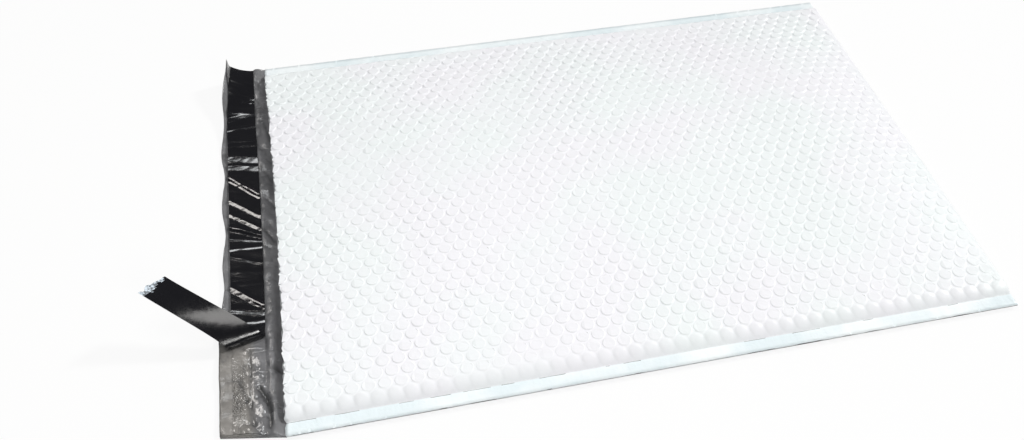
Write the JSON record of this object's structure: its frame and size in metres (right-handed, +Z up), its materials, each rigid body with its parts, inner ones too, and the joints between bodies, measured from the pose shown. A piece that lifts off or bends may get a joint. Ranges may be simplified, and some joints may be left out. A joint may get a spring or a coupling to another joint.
{
  "type": "padded envelope",
  "caption": "White bubble-lined film mailer lying flat, with an open flap, an adhesive strip and a half-peeled black release liner.",
  "frame": {"origin": "on the underside, under the middle of the pouch between its mouth and its bottom fold", "axes": "+X along the pouch from the mouth to the bottom fold, +Y from one side seam to the other, +Z up"},
  "size_m": [0.6816, 0.4826, 0.046],
  "materials": {
    "white_film": "semi-gloss",
    "bubble_film": "gloss",
    "clear_adhesive": "tacky gloss",
    "black_liner": "gloss"
  },
  "bodies": {
    "root": {"outer_film": "white_film", "bubble_lining": "bubble_film", "adhesive_strip": "clear_adhesive", "release_liner": "black_liner"}
  },
  "joints": []
}
